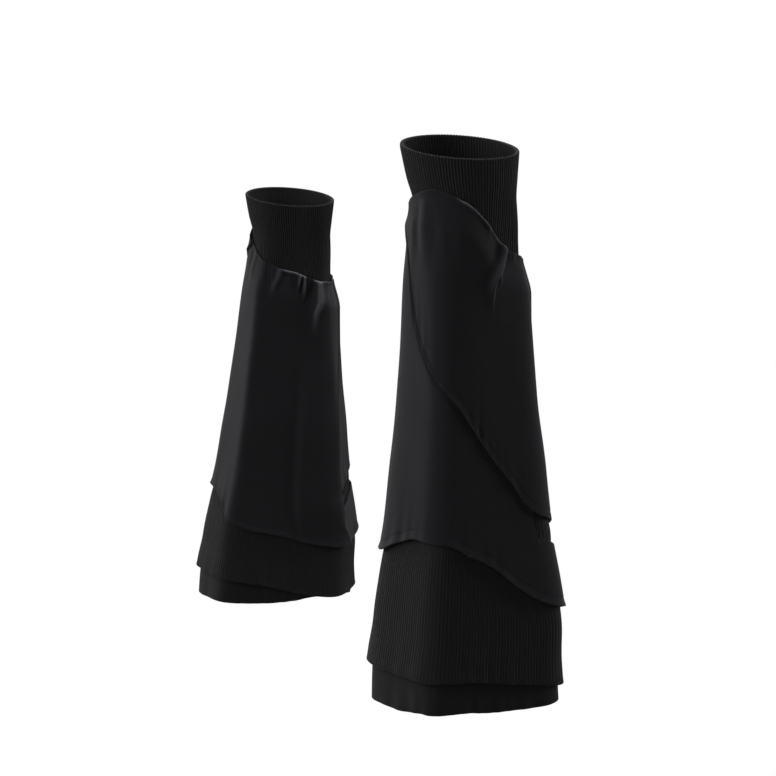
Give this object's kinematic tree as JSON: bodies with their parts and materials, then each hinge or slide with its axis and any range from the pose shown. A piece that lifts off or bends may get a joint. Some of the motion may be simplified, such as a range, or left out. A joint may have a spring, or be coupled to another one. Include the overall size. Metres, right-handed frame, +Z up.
{
  "type": "pair of leg warmers",
  "caption": "Flared black leg warmers: a rib-knit cuff, two wrapped fleece panels and a ribbed tube over a smooth inner tube, open at both ends, one behind the other as in a stride.",
  "frame": {"origin": "the middle of the near leg warmer's cuff, where the calf inside holds it", "axes": "+Z up the leg, +X to the right seen from the front, +Y back to the far leg warmer, a stride behind"},
  "size_m": [0.3592, 0.879, 0.6078],
  "materials": {
    "rib_knit": "black rib knit with fine upright ribs, matt",
    "jersey": "smooth black jersey, matt",
    "fleece": "black brushed fleece with a soft short nap, matt"
  },
  "bodies": {
    "root": {"near_cuff": "rib_knit", "near_inner_tube": "jersey", "near_ribbed_tube": "rib_knit", "near_lower_panel": "fleece", "near_upper_panel": "fleece", "far_cuff": "rib_knit", "far_inner_tube": "jersey", "far_ribbed_tube": "rib_knit", "far_lower_panel": "fleece", "far_upper_panel": "fleece"}
  },
  "joints": []
}
